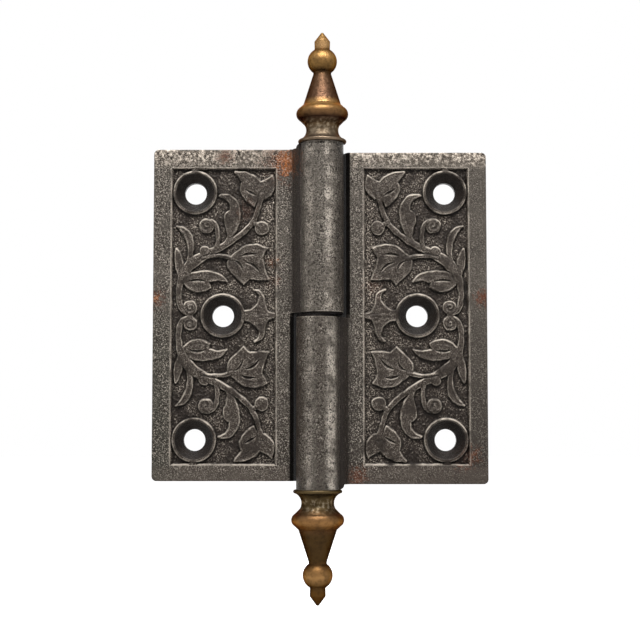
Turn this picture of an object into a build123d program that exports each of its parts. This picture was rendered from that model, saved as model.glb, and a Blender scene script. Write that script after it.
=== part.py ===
from build123d import *

import os
from math import sqrt

# A cast-iron lift-off butt hinge, lying open and flat. Sizes are in millimetres.
# The pin runs along Z with its middle at the origin. The carved fronts of the leaves face -Y.
# The door leaf, with the upper knuckle, is on -X; the frame leaf, with the lower knuckle, is on +X.
# A leaf's carving is drawn by its reach (outward from the pin's axis) and its rise (up from the joint).

# Leaves and knuckles
OPEN_WIDTH = 88.9  # across both leaves
LEAF_HEIGHT = 88.4
LEAF_THICKNESS = 4.6
CLOSED_GAP = 2.2  # between the two fronts when the hinge is shut
KNUCKLE_GAP = 1.3  # groove between the two knuckles
BOSS_STEP = 0.3  # depth of that groove, round the bosses on which the knuckles meet
BOSS_CLEARANCE = 0.1  # between the two bosses, held open by the pin
KNUCKLE_OVERHANG = 1.3  # of a knuckle past its leaf's end, with a hollow shoulder as high
LEAF_STEP = 0.4  # of a leaf's middle past the joint, towards its own knuckle; its carving stays level
WEAR = 0.6  # the worn bores let each knuckle hang this far off the pin's axis, away from its leaf
SOCKET_CLEARANCE = 1.6  # added to the knuckle's radius for a leaf's hollow edge
SOCKET_BEVEL = 1.1  # where that hollow runs out into the front
WEB_FILLET = 2.3  # where a leaf's front runs up to its own knuckle
CORNER_RADIUS = 1.3
EDGE_ROUND = 0.5

# Sunk panels and screw holes
PANEL_START = 11.6  # reach of the panel's inner side
SIDE_BORDER = 4.8
END_BORDER = 4.6  # mean of the two ends, which the step makes unlike
PANEL_DEPTH = 1.0
PANEL_DRAFT = 12  # degrees
HOLE_RADIUS = 2.9
COUNTERSINK_RADIUS = 5.2
COUNTERSINK_ANGLE = 82
RIM_WIDTH = 0.5  # raised ring round each countersink
OUTER_HOLE_REACH = 33.35
OUTER_HOLE_SPACING = 66.0
MIDDLE_HOLE_REACH = 25.9
CARVING_HEIGHT = 0.7  # of the vine above the panel's floor
VEIN_DEPTH = 0.35

# Pin and finials
PIN_RADIUS = 3.175
PIN_CLEARANCE = 0.06  # where the pin bears on a bore
PIN_ROUND = 0.8
SPIGOT_LENGTH = 10.0
SPIGOT_CLEARANCE = 0.04
SPIGOT_CHAMFER = 0.5

# Turned shape of a finial: radius, and height above the knuckle's end
FLANGE_RADIUS = 6.45
FLANGE_THICKNESS = 1.0
NECK_RADIUS = 4.3
NECK_HEIGHT = 3.5
BULGE_FOOT = (4.7, 5.0)
BULGE_UNDER = (6.0, 6.3)
BULGE = (6.95, 8.0)
BULGE_OVER = (6.0, 9.6)
CONE_FOOT = (5.05, 10.5)
CONE_TOP = (2.4, 18.8)
BALL_FOOT = (2.4, 19.3)
BALL = (3.95, 22.3)
BALL_TOP = (2.3, 25.3)
NUB_FOOT = (2.05, 25.6)
NUB_SHOULDER = (2.1, 27.7)
NUB_TIP = (0.3, 30.1)

# Places that follow from the sizes above
FRONT = CLOSED_GAP / 2
BACK = FRONT + LEAF_THICKNESS
KNUCKLE_RADIUS = BACK
SOCKET_RADIUS = KNUCKLE_RADIUS + SOCKET_CLEARANCE
SOCKET_LIP = sqrt(SOCKET_RADIUS**2 - BACK**2)
BEVEL_FOOT = (sqrt(SOCKET_RADIUS**2 - (FRONT + SOCKET_BEVEL) ** 2), FRONT + SOCKET_BEVEL)
SOCKET_FRONT = BEVEL_FOOT[0] + SOCKET_BEVEL
BORE_RADIUS = PIN_RADIUS + PIN_CLEARANCE + WEAR
LEAF_END = LEAF_HEIGHT / 2
KNUCKLE_FOOT = LEAF_END + KNUCKLE_OVERHANG  # from the middle of the leaf
KNUCKLE_END = KNUCKLE_FOOT + LEAF_STEP  # from the joint
SPIGOT_END = KNUCKLE_END - SPIGOT_LENGTH
OUTER_REACH = OPEN_WIDTH / 2
PANEL_WIDTH = OUTER_REACH - SIDE_BORDER - PANEL_START
PANEL_HEIGHT = LEAF_HEIGHT - 2 * END_BORDER
PANEL_MIDDLE = (PANEL_START + PANEL_WIDTH / 2, 0)
HOLE_PLACES = [
    (OUTER_HOLE_REACH, OUTER_HOLE_SPACING / 2),
    (MIDDLE_HOLE_REACH, 0),
    (OUTER_HOLE_REACH, -OUTER_HOLE_SPACING / 2),
]
FRONT_PLANE = Plane(origin=(0, FRONT, LEAF_STEP), x_dir=(1, 0, 0), z_dir=(0, -1, 0))
FLOOR_PLANE = FRONT_PLANE.offset(-PANEL_DEPTH)
VEIN_PLANE = FLOOR_PLANE.offset(CARVING_HEIGHT)

# The upper half of the carving, as (reach, rise), with a stem's half width as a third number.
# The lower half is its mirror image.
STEMS = [
    # main stem, from its scroll beside the middle hole up to the flower
    [
        (34.2, 0.5, 0.3), (35.6, 0.65, 0.4), (36.8, 1.8, 0.5), (37.5, 4.2, 0.5), (37.4, 7.6, 0.6),
        (36.4, 11.0, 0.85), (33.6, 14.4, 0.85), (29.2, 16.9, 0.75), (24.8, 19.2, 0.6), (20.8, 22.0, 0.5),
        (17.9, 25.2, 0.45), (16.6, 28.4, 0.4), (15.5, 32.4, 0.6),
    ],
    # branch to the ivy leaf
    [(31.2, 15.4, 0.3), (27.4, 16.0, 0.3), (23.4, 15.2, 0.4)],
    # curling tendril
    [(27.8, 17.8, 0.35), (27.2, 21.4, 0.35), (28.4, 24.8, 0.4), (31.2, 25.0, 0.3)],
    # stalk of the berry
    [(15.8, 23.6, 0.4), (18.0, 25.0, 0.4)],
]

# Round heads: reach, rise and radius
HEADS = [
    (34.5, 2.1, 1.5),  # scroll of the main stem
    (30.2, 24.1, 1.25),  # curl of the tendril
    (15.5, 23.4, 1.6),  # berry
    (30.8, 17.2, 1.05),  # bud on the main stem
]

# Leaves, as runs of points. Each run is smooth and starts where the last one ends, at a tip or a notch.
LEAVES = [
    # flower at the end of the main stem
    [
        [(19.0, 38.0), (22.6, 38.5)],
        [(20.5, 35.8)],
        [(21.2, 34.0), (20.2, 31.7), (17.6, 29.5)],
        [(16.4, 31.4)],
        [(14.6, 31.5)],
        [(12.6, 33.4), (12.8, 37.6)],
        [(14.2, 36.5), (15.9, 35.9)],
    ],
    # ivy leaf
    [
        [(22.6, 16.6), (20.2, 18.4), (17.4, 18.9), (14.3, 17.9)],
        [(15.4, 15.4)],
        [(14.9, 12.6), (13.8, 9.8)],
        [(16.2, 9.7), (18.7, 10.1)],
        [(20.3, 8.4)],
        [(22.4, 10.5), (24.5, 13.6), (24.0, 15.4)],
    ],
    # hooked leaf beside the upper hole
    [
        [(22.4, 23.0), (21.4, 27.0), (22.5, 30.8), (24.6, 32.3), (26.8, 32.1)],
        [(24.7, 31.0), (23.9, 28.2)],
        [(25.4, 26.5), (24.9, 23.6), (26.2, 18.8)],
        [(24.4, 19.6)],
    ],
    # long leaf that leans to the outer border
    [
        [(33.9, 18.6), (35.0, 22.3), (38.1, 23.9)],
        [(36.0, 21.2), (35.6, 13.2)],
        [(34.7, 14.0)],
    ],
    # small leaf against the outer border
    [
        [(36.9, 15.2), (38.3, 17.8)],
        [(38.6, 14.8), (37.2, 10.2)],
        [(36.4, 10.8)],
    ],
    # leaf with two lobes over the middle hole
    [
        [(30.4, 11.8), (27.2, 11.1), (24.8, 9.1)],
        [(27.4, 9.5), (29.7, 8.9)],
        [(29.3, 7.5)],
        [(32.6, 6.5), (36.5, 8.7)],
        [(36.2, 10.6)],
    ],
    # half of the horned bracket between the middle hole and the inner border
    [
        [(14.5, 2.2), (15.2, 5.3), (17.2, 6.8)],
        [(16.0, 4.8), (17.3, 2.3), (20.4, 1.3)],
        [(20.4, 0)],
        [(11.0, 0)],
        [(11.0, 0.7)],
    ],
]

# Cuts that stand for the veins of the leaves, drawn like the stems
VEINS = [
    [(17.2, 16.4, 0.1), (19.0, 16.5, 0.45), (21.0, 15.9, 0.1)],
    [(16.1, 11.5, 0.1), (17.5, 13.3, 0.4), (19.9, 14.2, 0.1)],
    [(20.6, 11.9, 0.1), (21.3, 13.7, 0.4), (22.9, 14.7, 0.1)],
    [(17.0, 32.1, 0.1), (18.4, 33.0, 0.4), (20.0, 33.8, 0.1)],
    [(30.4, 9.1, 0.1), (32.4, 9.5, 0.4), (34.9, 9.1, 0.1)],
]


def draw_stem(path):
    """A stem that swells and thins along its middle line, filled into the sketch being drawn."""
    left = []
    right = []
    for i, (reach, rise, half_width) in enumerate(path):
        before = path[max(i - 1, 0)]
        after = path[min(i + 1, len(path) - 1)]
        along = Vector(after[0] - before[0], after[1] - before[1]).normalized()
        across = Vector(-along.Y, along.X) * half_width
        left.append(Vector(reach, rise) + across)
        right.append(Vector(reach, rise) - across)
    with BuildLine() as outline:
        Spline(*left)
        Line(left[-1], right[-1])
        Spline(*reversed(right))
        Line(right[0], left[0])
    make_face(outline.edges())


def draw_leaf(runs):
    """A leaf's outline, smooth along each run of points, filled into the sketch being drawn."""
    start = runs[-1][-1]
    with BuildLine() as outline:
        for run in runs:
            if len(run) > 1:
                Spline(start, *run)
            else:
                Line(start, run[0])
            start = run[-1]
    make_face(outline.edges())


def draw_web():
    """The section that joins a leaf to its knuckle, hollow in front, drawn from the knuckle's own axis."""
    web_end = SOCKET_FRONT + WEAR
    reach = sqrt((KNUCKLE_RADIUS + WEB_FILLET) ** 2 - (WEB_FILLET - FRONT) ** 2)
    fillet_middle = Vector(reach, FRONT - WEB_FILLET)
    on_knuckle = fillet_middle * (KNUCKLE_RADIUS / (KNUCKLE_RADIUS + WEB_FILLET))
    on_front = Vector(reach, FRONT)
    with BuildLine() as outline:
        Polyline(on_knuckle, (0, 0), (0, BACK), (web_end, BACK), (web_end, FRONT), on_front)
        RadiusArc(on_front, on_knuckle, WEB_FILLET)
    make_face(outline.edges())


def cast_leaf():
    """One leaf with its knuckle, as cast and bored: on +X, with the knuckle in the lower half."""
    # shoulder in the corner between the leaf's end and the knuckle that stands past it
    with BuildPart() as shoulder:
        with BuildSketch(Plane.XY.offset(-KNUCKLE_FOOT)):
            draw_web()
        extrude(amount=KNUCKLE_OVERHANG)
        with BuildSketch(Plane.XZ):
            with BuildLine():
                Polyline(
                    (KNUCKLE_RADIUS, -KNUCKLE_FOOT), (0, -KNUCKLE_FOOT), (0, -LEAF_END),
                    (KNUCKLE_RADIUS + KNUCKLE_OVERHANG, -LEAF_END),
                )
                RadiusArc(
                    (KNUCKLE_RADIUS + KNUCKLE_OVERHANG, -LEAF_END), (KNUCKLE_RADIUS, -KNUCKLE_FOOT),
                    KNUCKLE_OVERHANG,
                )
            make_face()
        revolve(axis=Axis.Z, mode=Mode.INTERSECT)

    # knuckle with its boss, and the web and shoulder that run into it from the leaf
    with BuildPart() as knuckle:
        with BuildSketch(Plane.XY.offset(-LEAF_END)):
            draw_web()
        extrude(amount=LEAF_END + LEAF_STEP - KNUCKLE_GAP / 2)
        add(shoulder.part)
        with BuildSketch(Plane.XY.offset(-KNUCKLE_FOOT)):
            Circle(KNUCKLE_RADIUS)
        extrude(amount=KNUCKLE_END - KNUCKLE_GAP / 2)
        with BuildSketch(Plane.XY.offset(-KNUCKLE_FOOT)):
            Circle(KNUCKLE_RADIUS - BOSS_STEP)
        extrude(amount=KNUCKLE_END - BOSS_CLEARANCE / 2)

    with BuildPart() as leaf:
        # plate, hollowed along its inner edge to clear the other leaf's knuckle
        with BuildSketch(Plane.XY.offset(-LEAF_END)):
            with BuildLine():
                Polyline(
                    BEVEL_FOOT, (SOCKET_FRONT, FRONT), (OUTER_REACH, FRONT), (OUTER_REACH, BACK),
                    (SOCKET_LIP, BACK),
                )
                RadiusArc((SOCKET_LIP, BACK), BEVEL_FOOT, SOCKET_RADIUS)
            make_face()
        extrude(amount=LEAF_HEIGHT)
        outer_side = leaf.faces().sort_by(Axis.X)[-1]
        fillet(outer_side.edges().filter_by(Axis.Y), CORNER_RADIUS)
        front_edges = leaf.faces().sort_by(Axis.Y)[0].edges()
        fillet(front_edges.sort_by(Axis.X)[1:], EDGE_ROUND)

        # sunk panel, with its carving and the rims of the screw holes standing on its floor
        with BuildSketch(FRONT_PLANE):
            with Locations(PANEL_MIDDLE):
                Rectangle(PANEL_WIDTH, PANEL_HEIGHT)
        extrude(amount=-PANEL_DEPTH, taper=PANEL_DRAFT, mode=Mode.SUBTRACT)
        with BuildSketch(FLOOR_PLANE):
            for path in STEMS:
                draw_stem(path)
            for reach, rise, radius in HEADS:
                with Locations((reach, rise)):
                    Circle(radius)
            for runs in LEAVES:
                draw_leaf(runs)
            mirror(about=Plane.XZ)
            with Locations(PANEL_MIDDLE):
                Rectangle(PANEL_WIDTH, PANEL_HEIGHT, mode=Mode.INTERSECT)
        extrude(amount=CARVING_HEIGHT)
        with BuildSketch(VEIN_PLANE):
            for path in VEINS:
                draw_stem(path)
            mirror(about=Plane.XZ)
        extrude(amount=-VEIN_DEPTH, mode=Mode.SUBTRACT)
        with BuildSketch(FLOOR_PLANE):
            with Locations(*HOLE_PLACES):
                Circle(COUNTERSINK_RADIUS + RIM_WIDTH)
        extrude(amount=PANEL_DEPTH)

        # knuckle, bored for the pin and the finial's spigot, and the screw holes
        with Locations((-WEAR, 0, 0)):
            add(knuckle.part)
        with BuildSketch(Plane.XY.offset(-KNUCKLE_FOOT)):
            with Locations((-WEAR, 0)):
                Circle(BORE_RADIUS)
        extrude(amount=KNUCKLE_END, mode=Mode.SUBTRACT)
        with Locations(FRONT_PLANE.location):
            with Locations(*HOLE_PLACES):
                CounterSinkHole(HOLE_RADIUS, COUNTERSINK_RADIUS, counter_sink_angle=COUNTERSINK_ANGLE)
    return leaf.part


def turn_finial():
    """A finial turned in one piece with its spigot, standing on the upper knuckle."""
    bore_fit = BORE_RADIUS - SPIGOT_CLEARANCE
    rim = FLANGE_RADIUS - FLANGE_THICKNESS / 2
    with BuildPart() as finial:
        with BuildSketch(Plane.XZ):
            with BuildLine():
                Polyline(
                    (0, NUB_TIP[1]), (0, -SPIGOT_LENGTH), (bore_fit - SPIGOT_CHAMFER, -SPIGOT_LENGTH),
                    (bore_fit, SPIGOT_CHAMFER - SPIGOT_LENGTH), (bore_fit, 0), (rim, 0),
                )
                ThreePointArc((rim, 0), (FLANGE_RADIUS, FLANGE_THICKNESS / 2), (rim, FLANGE_THICKNESS))
                ThreePointArc((rim, FLANGE_THICKNESS), (NECK_RADIUS, NECK_HEIGHT), BULGE_FOOT)
                Line(BULGE_FOOT, BULGE_UNDER)
                ThreePointArc(BULGE_UNDER, BULGE, BULGE_OVER)
                Polyline(BULGE_OVER, CONE_FOOT, CONE_TOP, BALL_FOOT)
                ThreePointArc(BALL_FOOT, BALL, BALL_TOP)
                Polyline(BALL_TOP, NUB_FOOT, NUB_SHOULDER, NUB_TIP, (0, NUB_TIP[1]))
            make_face()
        revolve(axis=Axis.Z)
    return finial.part


leaf_casting = cast_leaf()
turned_finial = turn_finial()

with BuildPart() as frame_leaf:
    with Locations((0, 0, -LEAF_STEP)):
        add(leaf_casting)

with BuildPart() as door_leaf:
    with Locations((0, 0, LEAF_STEP)):
        add(leaf_casting, rotation=(0, 180, 0))

with BuildPart() as pin:
    Cylinder(PIN_RADIUS, 2 * SPIGOT_END)
    fillet(pin.edges().filter_by(GeomType.CIRCLE), PIN_ROUND)

with BuildPart() as upper_finial:
    with Locations((WEAR, 0, KNUCKLE_END)):
        add(turned_finial)

with BuildPart() as lower_finial:
    with Locations((-WEAR, 0, -KNUCKLE_END)):
        add(turned_finial, rotation=(180, 0, 0))

os.makedirs("parts", exist_ok=True)
for name, piece in [
    ("frame_leaf", frame_leaf),
    ("door_leaf", door_leaf),
    ("pin", pin),
    ("upper_finial", upper_finial),
    ("lower_finial", lower_finial),
]:
    piece.part.label = name
    export_step(piece.part, f"parts/{name}.step")
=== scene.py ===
# %% [markdown]
# # An iron butt hinge with cast ivy and turned finials
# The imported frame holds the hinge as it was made: two cast leaves, a pin and two finials, each at its real
# place. This lesson gives them their looks. It adds the fine carving that stands on the sunk panels, then
# the finishes, and last the light and the camera. Nothing of the frame is moved, so every new piece goes
# where the frame says.

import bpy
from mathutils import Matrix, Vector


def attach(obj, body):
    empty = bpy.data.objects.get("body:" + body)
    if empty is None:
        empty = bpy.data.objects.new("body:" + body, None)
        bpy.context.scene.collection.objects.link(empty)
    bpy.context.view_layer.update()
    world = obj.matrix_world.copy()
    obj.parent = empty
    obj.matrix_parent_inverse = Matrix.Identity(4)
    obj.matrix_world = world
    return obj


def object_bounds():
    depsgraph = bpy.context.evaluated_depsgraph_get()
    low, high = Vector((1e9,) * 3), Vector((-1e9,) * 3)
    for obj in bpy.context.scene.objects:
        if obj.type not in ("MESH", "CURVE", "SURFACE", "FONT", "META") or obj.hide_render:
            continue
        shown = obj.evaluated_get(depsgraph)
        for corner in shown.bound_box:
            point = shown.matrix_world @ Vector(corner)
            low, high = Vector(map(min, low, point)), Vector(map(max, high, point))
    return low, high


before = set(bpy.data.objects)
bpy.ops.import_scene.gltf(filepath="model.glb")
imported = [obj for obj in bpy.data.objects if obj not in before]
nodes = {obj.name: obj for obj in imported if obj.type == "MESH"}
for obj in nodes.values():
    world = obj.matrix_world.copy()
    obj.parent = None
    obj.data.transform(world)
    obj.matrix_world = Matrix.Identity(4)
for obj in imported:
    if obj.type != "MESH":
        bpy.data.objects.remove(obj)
cad_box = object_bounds()
print("nodes in the frame:", sorted(nodes))

# %% Modules and units
import math

import bpy
import numpy as np

MM = 0.001
bpy.ops.object.select_all(action="DESELECT")
print("the hinge is", [round((high - low) / MM, 1) for low, high in zip(*cad_box)], "mm")

# %% [markdown]
# ## The carver's plan
# The founder cut this ivy into a wooden pattern, and every casting repeats it. The plan is drawn in
# millimetres, as (reach, rise): reach is measured outward from the pin, and rise up from the joint between
# the knuckles. Only the upper half is drawn, because the lower half is its mirror image. These are the
# outlines that the casting already has in its plain form, so what is built from them here lies snugly over
# that form.

# %% Sizes of the sunk panel
PANEL_SIDES = (11.6, 39.65)  # reach of its inner and outer side
PANEL_TOP = 39.6
PANEL_DEPTH = 1.0
SCREW_HOLES = [(33.35, 33.0), (25.9, 0.0), (33.35, -33.0)]
COUNTERSINK = 5.2  # radius at the front
RIM = 5.7  # outer radius of the raised ring round it
front = 1.1  # distance of the leaves' fronts from the pin's axis
floor_of_panel = front + PANEL_DEPTH
WEAR = 0.6  # in the worn bores each knuckle hangs this far off the pin, away from its leaf
print("panel:", PANEL_SIDES[1] - PANEL_SIDES[0], "by", 2 * PANEL_TOP, "mm, sunk", PANEL_DEPTH, "mm")

# %% Stems, with a half width as the third number
STEMS = [
    # main stem, from its scroll beside the middle hole up to the flower
    [
        (34.2, 0.5, 0.3), (35.6, 0.65, 0.4), (36.8, 1.8, 0.5), (37.5, 4.2, 0.5), (37.4, 7.6, 0.6),
        (36.4, 11.0, 1.0), (33.6, 14.4, 1.2), (29.2, 16.9, 0.85), (24.8, 19.2, 0.6), (20.8, 22.0, 0.5),
        (17.9, 25.2, 0.45), (16.6, 28.4, 0.4), (15.5, 32.4, 0.6),
    ],
    # branch to the ivy leaf
    [(31.2, 15.4, 0.3), (27.4, 16.0, 0.3), (23.4, 15.2, 0.4)],
    # curling tendril
    [(27.8, 17.8, 0.35), (27.2, 21.4, 0.35), (28.4, 24.8, 0.4), (31.2, 25.0, 0.3)],
    # stalk of the berry
    [(15.8, 23.6, 0.4), (18.0, 25.0, 0.4)],
]

# Round heads: reach, rise, radius and how many turns of a scroll are cut in them
HEADS = [
    (34.5, 2.1, 1.6, 1.3),  # scroll of the main stem
    (30.2, 24.0, 1.75, 1.2),  # curl of the tendril
    (15.5, 23.4, 1.6, 0),  # berry
    (30.8, 17.2, 1.05, 0),  # bud on the main stem
]
print(len(STEMS), "stems and", len(HEADS), "round heads in half a panel")

# %% Leaves, as runs of points from tip to notch
LEAVES = [
    # flower at the end of the main stem
    [
        [(19.0, 38.0), (22.6, 38.5)],
        [(20.5, 35.8)],
        [(21.2, 34.0), (20.2, 31.7), (17.6, 29.5)],
        [(16.4, 31.4)],
        [(14.6, 31.5)],
        [(12.6, 33.4), (12.8, 37.6)],
        [(14.2, 36.5), (15.9, 35.9)],
    ],
    # ivy leaf
    [
        [(22.6, 16.6), (20.2, 18.4), (17.4, 18.9), (14.3, 17.9)],
        [(15.4, 15.4)],
        [(14.9, 12.6), (13.8, 9.8)],
        [(16.2, 9.7), (18.7, 10.1)],
        [(20.3, 8.4)],
        [(22.4, 10.5), (24.5, 13.6), (24.0, 15.4)],
    ],
    # hooked leaf beside the upper hole
    [
        [(22.4, 23.0), (21.4, 27.0), (22.5, 30.8), (24.6, 32.3), (26.8, 32.1)],
        [(24.7, 31.0), (23.9, 28.2)],
        [(25.4, 26.5), (24.9, 23.6), (26.2, 18.8)],
        [(24.4, 19.6)],
    ],
    # long leaf that leans to the outer border
    [
        [(33.9, 18.6), (35.0, 22.3), (38.1, 23.9)],
        [(36.0, 21.2), (35.6, 13.2)],
        [(34.7, 14.0)],
    ],
    # small leaf against the outer border
    [
        [(36.9, 15.2), (38.3, 17.8)],
        [(38.6, 14.8), (37.2, 10.2)],
        [(36.4, 10.8)],
    ],
    # leaf with two lobes over the middle hole
    [
        [(30.4, 11.8), (27.2, 11.1), (24.8, 9.1)],
        [(27.4, 9.5), (29.7, 8.9)],
        [(29.3, 7.5)],
        [(32.6, 6.5), (36.5, 8.7)],
        [(36.2, 10.6)],
    ],
    # half of the horned bracket between the middle hole and the inner border
    [
        [(14.5, 2.2), (15.2, 5.3), (17.2, 6.8)],
        [(16.0, 4.8), (17.3, 2.3), (20.4, 1.3)],
        [(20.4, 0)],
        [(11.0, 0)],
        [(11.0, 0.7)],
    ],
]

# Deep cuts between the lobes, drawn like the stems
CUTS = [
    [(17.2, 16.4, 0.1), (19.0, 16.5, 0.45), (21.0, 15.9, 0.1)],
    [(16.1, 11.5, 0.1), (17.5, 13.3, 0.4), (19.9, 14.2, 0.1)],
    [(20.6, 11.9, 0.1), (21.3, 13.7, 0.4), (22.9, 14.7, 0.1)],
    [(17.0, 32.1, 0.1), (18.4, 33.0, 0.4), (20.0, 33.8, 0.1)],
    [(30.4, 9.1, 0.1), (32.4, 9.5, 0.4), (34.9, 9.1, 0.1)],
]

# Fine veins scratched along the middle of each lobe
VEINS = [
    [(23.2, 15.7), (20.2, 17.3), (15.3, 17.6)],
    [(22.4, 15.2), (18.6, 12.6), (14.6, 10.4)],
    [(22.6, 14.4), (21.8, 11.8), (20.4, 9.2)],
    [(16.2, 32.4), (17.8, 35.0), (21.6, 38.0)],
    [(15.4, 32.4), (14.2, 34.6), (13.3, 36.9)],
    [(25.3, 20.2), (23.4, 24.0), (22.7, 28.5), (24.0, 31.4), (25.8, 32.0)],
    [(35.2, 14.4), (34.8, 18.8), (35.7, 22.0), (37.5, 23.5)],
    [(36.9, 11.2), (37.7, 14.0), (38.1, 17.0)],
    [(35.4, 10.2), (31.0, 10.9), (26.0, 10.0)],
    [(35.6, 8.9), (33.0, 7.5), (30.2, 7.9)],
]
print(len(LEAVES), "leaves,", len(CUTS), "cuts and", len(VEINS), "veins in half a panel")

# %% [markdown]
# ## From the plan to heights
# A carver thinks in distances from the edge: the wood falls steeply outside the line, has a rounded lip
# just inside it and a crown in the middle. So each outline is turned into a smooth line, every point of the
# panel is told how far inside or outside that line it is, and a section gives the height for that distance.
# Sculpting by hand would be another way, but a section drawn once keeps every stem and leaf alike, as one
# carver's tools do.

# %% Smooth lines through points
LINE_STEPS = 10  # short straight pieces between two points


def end_slope(times, points):
    """Slope at the start of a run, from the curve through its first few points."""
    count = min(4, len(points))
    curve = np.polyfit(times[:count], points[:count], count - 1)
    slope = np.zeros(points.shape[1])
    for power, factor in zip(range(count - 1, 0, -1), curve):
        slope += power * factor * times[0] ** (power - 1)
    return slope


def smooth_line(points):
    """A smooth line through a run of points, as short straight pieces, with a third number smoothed along."""
    points = np.array(points, float)
    if len(points) == 2:
        return points
    gaps = np.hypot(*np.diff(points[:, :2], axis=0).T)
    times = np.concatenate([[0.0], np.cumsum(gaps)])
    count = len(points)
    matrix = np.eye(count)
    sides = np.zeros_like(points)
    sides[0] = end_slope(times, points)
    sides[-1] = -end_slope(times[-1] - times[::-1], points[::-1])
    for i in range(1, count - 1):
        matrix[i, i - 1: i + 2] = [1 / gaps[i - 1], 2 / gaps[i - 1] + 2 / gaps[i], 1 / gaps[i]]
        before = (points[i] - points[i - 1]) / gaps[i - 1] ** 2
        after = (points[i + 1] - points[i]) / gaps[i] ** 2
        sides[i] = 3 * (before + after)
    slopes = np.linalg.solve(matrix, sides)
    line = [points[:1]]
    t = np.linspace(0, 1, LINE_STEPS + 1)[1:, None]
    for i in range(count - 1):
        start_part = (1 + 2 * t) * (1 - t) ** 2 * points[i] + t * (1 - t) ** 2 * gaps[i] * slopes[i]
        end_part = t**2 * (3 - 2 * t) * points[i + 1] + t**2 * (t - 1) * gaps[i] * slopes[i + 1]
        line.append(start_part + end_part)
    return np.concatenate(line)


def leaf_outline(runs):
    """The closed outline of a leaf, smooth along each run and sharp between two runs."""
    start = runs[-1][-1]
    pieces = []
    for run in runs:
        pieces.append(smooth_line([start, *run])[:-1])
        start = run[-1]
    return np.concatenate(pieces)


print("the main stem is", len(smooth_line(STEMS[0])), "points long")

# %% Distances from the lines
REACHES_OUT = 1.6  # how far outside an outline its distance still matters
FAR_OUTSIDE = -9.0


def near(line, places):
    """Which places lie in the box round a line."""
    low = line[:, :2].min(0) - REACHES_OUT
    high = line[:, :2].max(0) + REACHES_OUT
    return np.all((places > low) & (places < high), axis=1)


def gaps_to_pieces(line, places):
    """Distance of each place from each piece of a line, and how far along it the nearest point is."""
    starts = line[:-1, :2]
    along = line[1:, :2] - starts
    apart = places[:, None] - starts
    share = (apart * along).sum(2) / np.maximum((along**2).sum(1), 1e-12)
    share = share.clip(0, 1)
    return np.linalg.norm(apart - share[..., None] * along, axis=2), share


def inside_stem(path, places):
    """How far inside a stem each place is, below zero outside it, with the stem's half width there."""
    line = smooth_line(path)
    inside = np.full(len(places), FAR_OUTSIDE)
    half = np.full(len(places), line[0, 2])
    some = near(line, places)
    gaps, share = gaps_to_pieces(line, places[some])
    widths = line[:-1, 2] + share * np.diff(line[:, 2])
    best = np.argmax(widths - gaps, axis=1)
    rows = np.arange(len(best))
    inside[some] = (widths - gaps)[rows, best]
    half[some] = widths[rows, best]
    return inside, half


def inside_leaf(runs, places):
    """How far inside a leaf's outline each place is, below zero outside it."""
    outline = leaf_outline(runs)
    closed = np.concatenate([outline, outline[:1]])
    inside = np.full(len(places), FAR_OUTSIDE)
    some = near(closed, places)
    spots = places[some]
    gaps, _ = gaps_to_pieces(closed, spots)
    (x0, y0), (x1, y1) = closed[:-1].T, closed[1:].T
    straddles = (y0 > spots[:, 1:]) != (y1 > spots[:, 1:])
    rises = np.where(y1 == y0, 1e-12, y1 - y0)
    crossings = straddles & (spots[:, :1] < (x1 - x0) * (spots[:, 1:] - y0) / rises + x0)
    within = crossings.sum(1) % 2 == 1
    inside[some] = np.where(within, 1, -1) * gaps.min(1)
    return inside


print("distances can be measured from", len(STEMS) + len(LEAVES) + len(HEADS), "outlines")

# %% [markdown]
# ## A fine grid over each panel
# The panel's skin starts as a flat grid primitive, as wide as the panel and a little more, so that its
# edges end out of sight inside the border. Its squares are about as fine as the sand that the iron was cast
# in. The heights are then set point by point. A displacement modifier would need a picture of the carving,
# and a picture is what this lesson does without.

# %% Add the grid
SQUARE = 0.152  # size of one square of the grid, in mm
OVERLAP = 0.05  # of the grid into the border
width = PANEL_SIDES[1] - PANEL_SIDES[0] + 2 * OVERLAP
height = 2 * (PANEL_TOP + OVERLAP)
columns = round(width / SQUARE)
rows = round(height / SQUARE)
bpy.ops.mesh.primitive_grid_add(
    x_subdivisions=columns, y_subdivisions=rows, size=1, rotation=(math.pi / 2, 0, 0),
    location=(sum(PANEL_SIDES) / 2 * MM, floor_of_panel * MM, 0),
)
frame_carving = bpy.context.object
frame_carving.name = "frame_leaf_carving"
frame_carving.scale = (width * MM, height * MM, 1)
bpy.ops.object.transform_apply(location=True, rotation=True, scale=True)
mesh = frame_carving.data
flat = np.zeros(len(mesh.vertices) * 3)
mesh.vertices.foreach_get("co", flat)
places = flat.reshape(-1, 3)[:, [0, 2]] / MM
print("grid of", columns, "by", rows, "squares")

# %% [markdown]
# ## Sections of the carved forms
# Leaves are flat, with a thin lip that catches the light along the edge, and stems are low and rounded. The
# lip is uneven, because rust and cleaning have eaten it in places. The rims round the screw holes are low
# beads. Where a stem passes over a leaf, the leaf is cut away a little beside it, which is how a carver
# parts two forms of one height.

# %% Noise over the grid
from mathutils import Vector, noise


def noise_field(width, layer):
    """Soft noise between about -1 and 1 over the grid, with lumps of this width in mm, alike on every run."""
    return np.array([noise.noise(Vector((u / width, v / width, layer))) for u, v in places])


uneven = (0.75 + 1.3 * noise_field(2.2, 5.0)).clip(0.1, 1.4)
print("the lips keep", round(100 * (uneven > 0.5).mean()), "% of their length")

# %% Sections
WALL = (-0.44, -0.02)  # the steep side, as distances outside the outline
STEM_WALL = (-0.32, -0.02)
SIDE_HEIGHT = 0.82  # height of the form at its outline
LIP = 0.13
SWELL = 0.06  # of a leaf's middle
CROWN = 0.2  # of a stem's middle
DOME = 0.16  # of a round head
SCROLL_DEPTH = 0.16


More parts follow.
